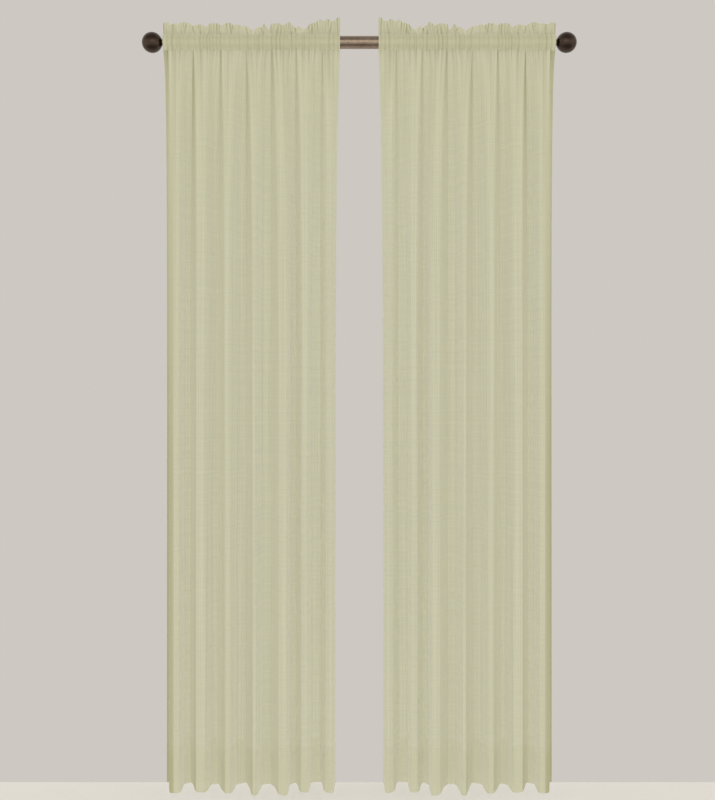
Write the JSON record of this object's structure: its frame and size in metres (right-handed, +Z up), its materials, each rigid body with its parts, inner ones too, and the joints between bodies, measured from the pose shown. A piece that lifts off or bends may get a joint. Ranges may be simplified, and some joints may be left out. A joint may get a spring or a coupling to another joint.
{
  "type": "curtain panel pair on a rod",
  "caption": "Sheer gathered rod-pocket curtain panels with a frilled heading, hung side by side on a round metal rod with ball finials, to cover a window.",
  "frame": {"origin": "on the rod's axis, midway between the inner edges of the panels", "axes": "+Z up, +X along the rod to the viewer's right, +Y to the back, towards the wall and window; the front faces -Y"},
  "size_m": [1.1952, 0.1085, 2.114],
  "materials": {
    "sheer_cloth": "sheer plain-woven polyester voile, pale olive beige, with a faint sheen",
    "rod_bronze": "satin brown bronze on steel tube",
    "finial_bronze": "dark oil-rubbed bronze"
  },
  "bodies": {
    "root": {"panel_left": "sheer_cloth", "panel_right": "sheer_cloth", "rod": "rod_bronze", "finial_left": "finial_bronze", "finial_right": "finial_bronze"}
  },
  "joints": []
}
